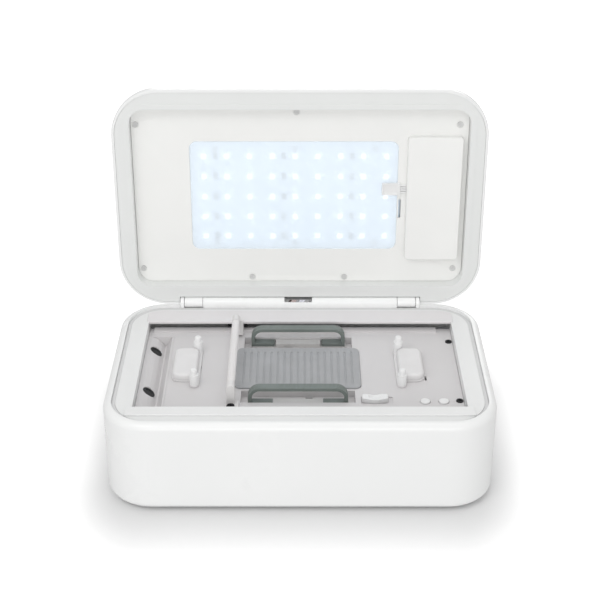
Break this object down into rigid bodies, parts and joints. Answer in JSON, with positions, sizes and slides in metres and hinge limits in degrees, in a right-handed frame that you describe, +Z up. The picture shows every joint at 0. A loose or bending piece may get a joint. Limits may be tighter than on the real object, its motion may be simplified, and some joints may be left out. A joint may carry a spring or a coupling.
{
  "type": "phone sanitizer box",
  "caption": "White hinged box that cleans a phone with lamps in its lid; a wiper roller, clamps and end jaws sit on the deck.",
  "frame": {"origin": "on the floor plane, below the centre of the base", "axes": "+X to the right, +Y to the rear hinge, +Z up"},
  "size_m": [0.294, 0.209, 0.2582],
  "materials": {
    "shell_white": "soft gloss moulded shell",
    "frame_white": "satin moulded frame",
    "deck_grey": "fine matt moulded deck",
    "gasket_grey": "soft silicone",
    "dark_rubber": "dark rubber",
    "mat_grey": "grooved silicone mat",
    "screw_steel": "plated screw",
    "black_steel": "blackened screw",
    "rod_steel": "ground steel rod",
    "motor_metal": "motor can and bracket",
    "belt_black": "toothed belt rubber",
    "clamp_green": "grey-green satin plastic",
    "slide_white": "slide plastic",
    "gear_ivory": "acetal",
    "post_white": "white moulded post",
    "pad_white": "soft pad",
    "sleeve_cloth": "wiping cloth sleeve",
    "carriage_dark": "filled plastic carriage",
    "board_green": "circuit board",
    "parts_dark": "board parts",
    "inlet_black": "inlet housing",
    "wire_mix": "coloured wire sheaths",
    "led_board_blue": "bluish white board",
    "led_white": "lamp body",
    "lens_frost": "frosted window",
    "panel_white": "warm white panel",
    "magnet_grey": "plated magnet"
  },
  "bodies": {
    "base": {"base_shell": "shell_white", "bottom_cover": "frame_white", "rubber_feet": "dark_rubber", "bottom_screws": "screw_steel", "top_bezel": "frame_white", "rim_gasket": "gasket_grey", "front_rail_cover": "frame_white", "rear_rail_cover": "deck_grey", "deck_plate": "deck_grey", "side_block": "deck_grey", "side_plugs": "dark_rubber", "deck_screws": "black_steel", "phone_mat": "mat_grey", "guide_rods": "rod_steel", "wiper_motor": "motor_metal", "belt_brackets": "motor_metal", "drive_belt": "belt_black", "mechanism_tray": "slide_white", "control_board": "board_green", "board_parts": "parts_dark", "button_switches": "parts_dark", "dc_inlet": "inlet_black", "lid_sensor": "parts_dark", "hinge_spine": "shell_white", "hinge_pins": "rod_steel", "hinge_wires": "wire_mix"},
    "lid": {"lid_shell": "shell_white", "lid_frame": "frame_white", "lid_panel": "panel_white", "led_board": "led_board_blue", "leds": "led_white", "led_resistors": "parts_dark", "led_lens": "lens_frost", "board_screws": "screw_steel", "panel_screws": "screw_steel", "driver_cover": "panel_white", "driver_board": "board_green", "lead_connector": "post_white", "lead_wires": "post_white", "hinge_leaves": "shell_white", "lid_magnet": "magnet_grey"},
    "wiper": {"wiper_arm": "post_white", "wiper_carriages": "carriage_dark", "arm_screws": "black_steel"},
    "roller": {"wiper_sleeve": "sleeve_cloth"},
    "drive_pulley": {"drive_pulley": "gear_ivory"},
    "idler_pulley": {"idler_pulley": "gear_ivory"},
    "front_clamp": {"front_clamp": "clamp_green", "front_clamp_rack": "slide_white"},
    "rear_clamp": {"rear_clamp": "clamp_green", "rear_clamp_rack": "slide_white"},
    "clamp_pinion": {"clamp_pinion": "gear_ivory"},
    "left_jaw": {"left_jaw": "pad_white", "left_posts": "post_white"},
    "right_jaw": {"right_jaw": "pad_white", "right_posts": "post_white"},
    "jaw_pinion": {"jaw_pinion": "gear_ivory"},
    "power_button": {"power_button": "post_white"},
    "start_button": {"start_button": "post_white"},
    "release_tab": {"release_tab": "post_white"}
  },
  "joints": [
    {"name": "lid_hinge", "type": "hinge", "parent": "base", "child": "lid", "pos_m": [0, 0.088, 0.0775], "axis": [1, 0, 0], "range_deg": [0, 93]},
    {"name": "wiper_slide", "type": "slide", "parent": "base", "child": "wiper", "axis": [1, 0, 0], "range_m": [-0.013, 0.108]},
    {"name": "roller_spin", "type": "hinge", "parent": "wiper", "child": "roller", "pos_m": [-0.051, 0.0025, 0.08205], "axis": [0, 1, 0], "continuous": true},
    {"name": "drive_pulley_spin", "type": "hinge", "parent": "base", "child": "drive_pulley", "pos_m": [-0.108, 0.068, 0.053], "axis": [0, 0, 1], "range_deg": [-1500, 200]},
    {"name": "idler_pulley_spin", "type": "hinge", "parent": "base", "child": "idler_pulley", "pos_m": [0.108, 0.068, 0.053], "axis": [0, 0, 1], "range_deg": [-1500, 200]},
    {"name": "front_clamp_slide", "type": "slide", "parent": "base", "child": "front_clamp", "axis": [0, 1, 0], "range_m": [0, 0.008]},
    {"name": "rear_clamp_slide", "type": "slide", "parent": "base", "child": "rear_clamp", "axis": [0, 1, 0], "range_m": [-0.008, 0]},
    {"name": "clamp_pinion_spin", "type": "hinge", "parent": "base", "child": "clamp_pinion", "pos_m": [-0.0015, 0.0025, 0.05], "axis": [0, 0, 1], "range_deg": [0, 77]},
    {"name": "left_jaw_slide", "type": "slide", "parent": "base", "child": "left_jaw", "axis": [1, 0, 0], "range_m": [0, 0.008]},
    {"name": "right_jaw_slide", "type": "slide", "parent": "base", "child": "right_jaw", "axis": [1, 0, 0], "range_m": [-0.008, 0]},
    {"name": "jaw_pinion_spin", "type": "hinge", "parent": "base", "child": "jaw_pinion", "pos_m": [-0.0015, 0.0025, 0.043], "axis": [0, 0, 1], "range_deg": [0, 77]},
    {"name": "power_button_press", "type": "slide", "parent": "base", "child": "power_button", "axis": [0, 0, -1], "range_m": [0, 0.0012], "stiffness_N_per_m": 200, "springref_m": -0.0005},
    {"name": "start_button_press", "type": "slide", "parent": "base", "child": "start_button", "axis": [0, 0, -1], "range_m": [0, 0.0012], "stiffness_N_per_m": 200, "springref_m": -0.0005},
    {"name": "release_tab_slide", "type": "slide", "parent": "base", "child": "release_tab", "axis": [1, 0, 0], "range_m": [0, 0.003], "stiffness_N_per_m": 100, "springref_m": -0.0005}
  ],
  "couplings": [
    {"joint": "drive_pulley_spin", "follows": "wiper_slide", "rad_per_m": -200},
    {"joint": "idler_pulley_spin", "follows": "wiper_slide", "rad_per_m": -200},
    {"joint": "rear_clamp_slide", "follows": "front_clamp_slide", "ratio": -1},
    {"joint": "clamp_pinion_spin", "follows": "front_clamp_slide", "rad_per_m": 166.67},
    {"joint": "right_jaw_slide", "follows": "left_jaw_slide", "ratio": -1},
    {"joint": "jaw_pinion_spin", "follows": "left_jaw_slide", "rad_per_m": 166.67}
  ]
}
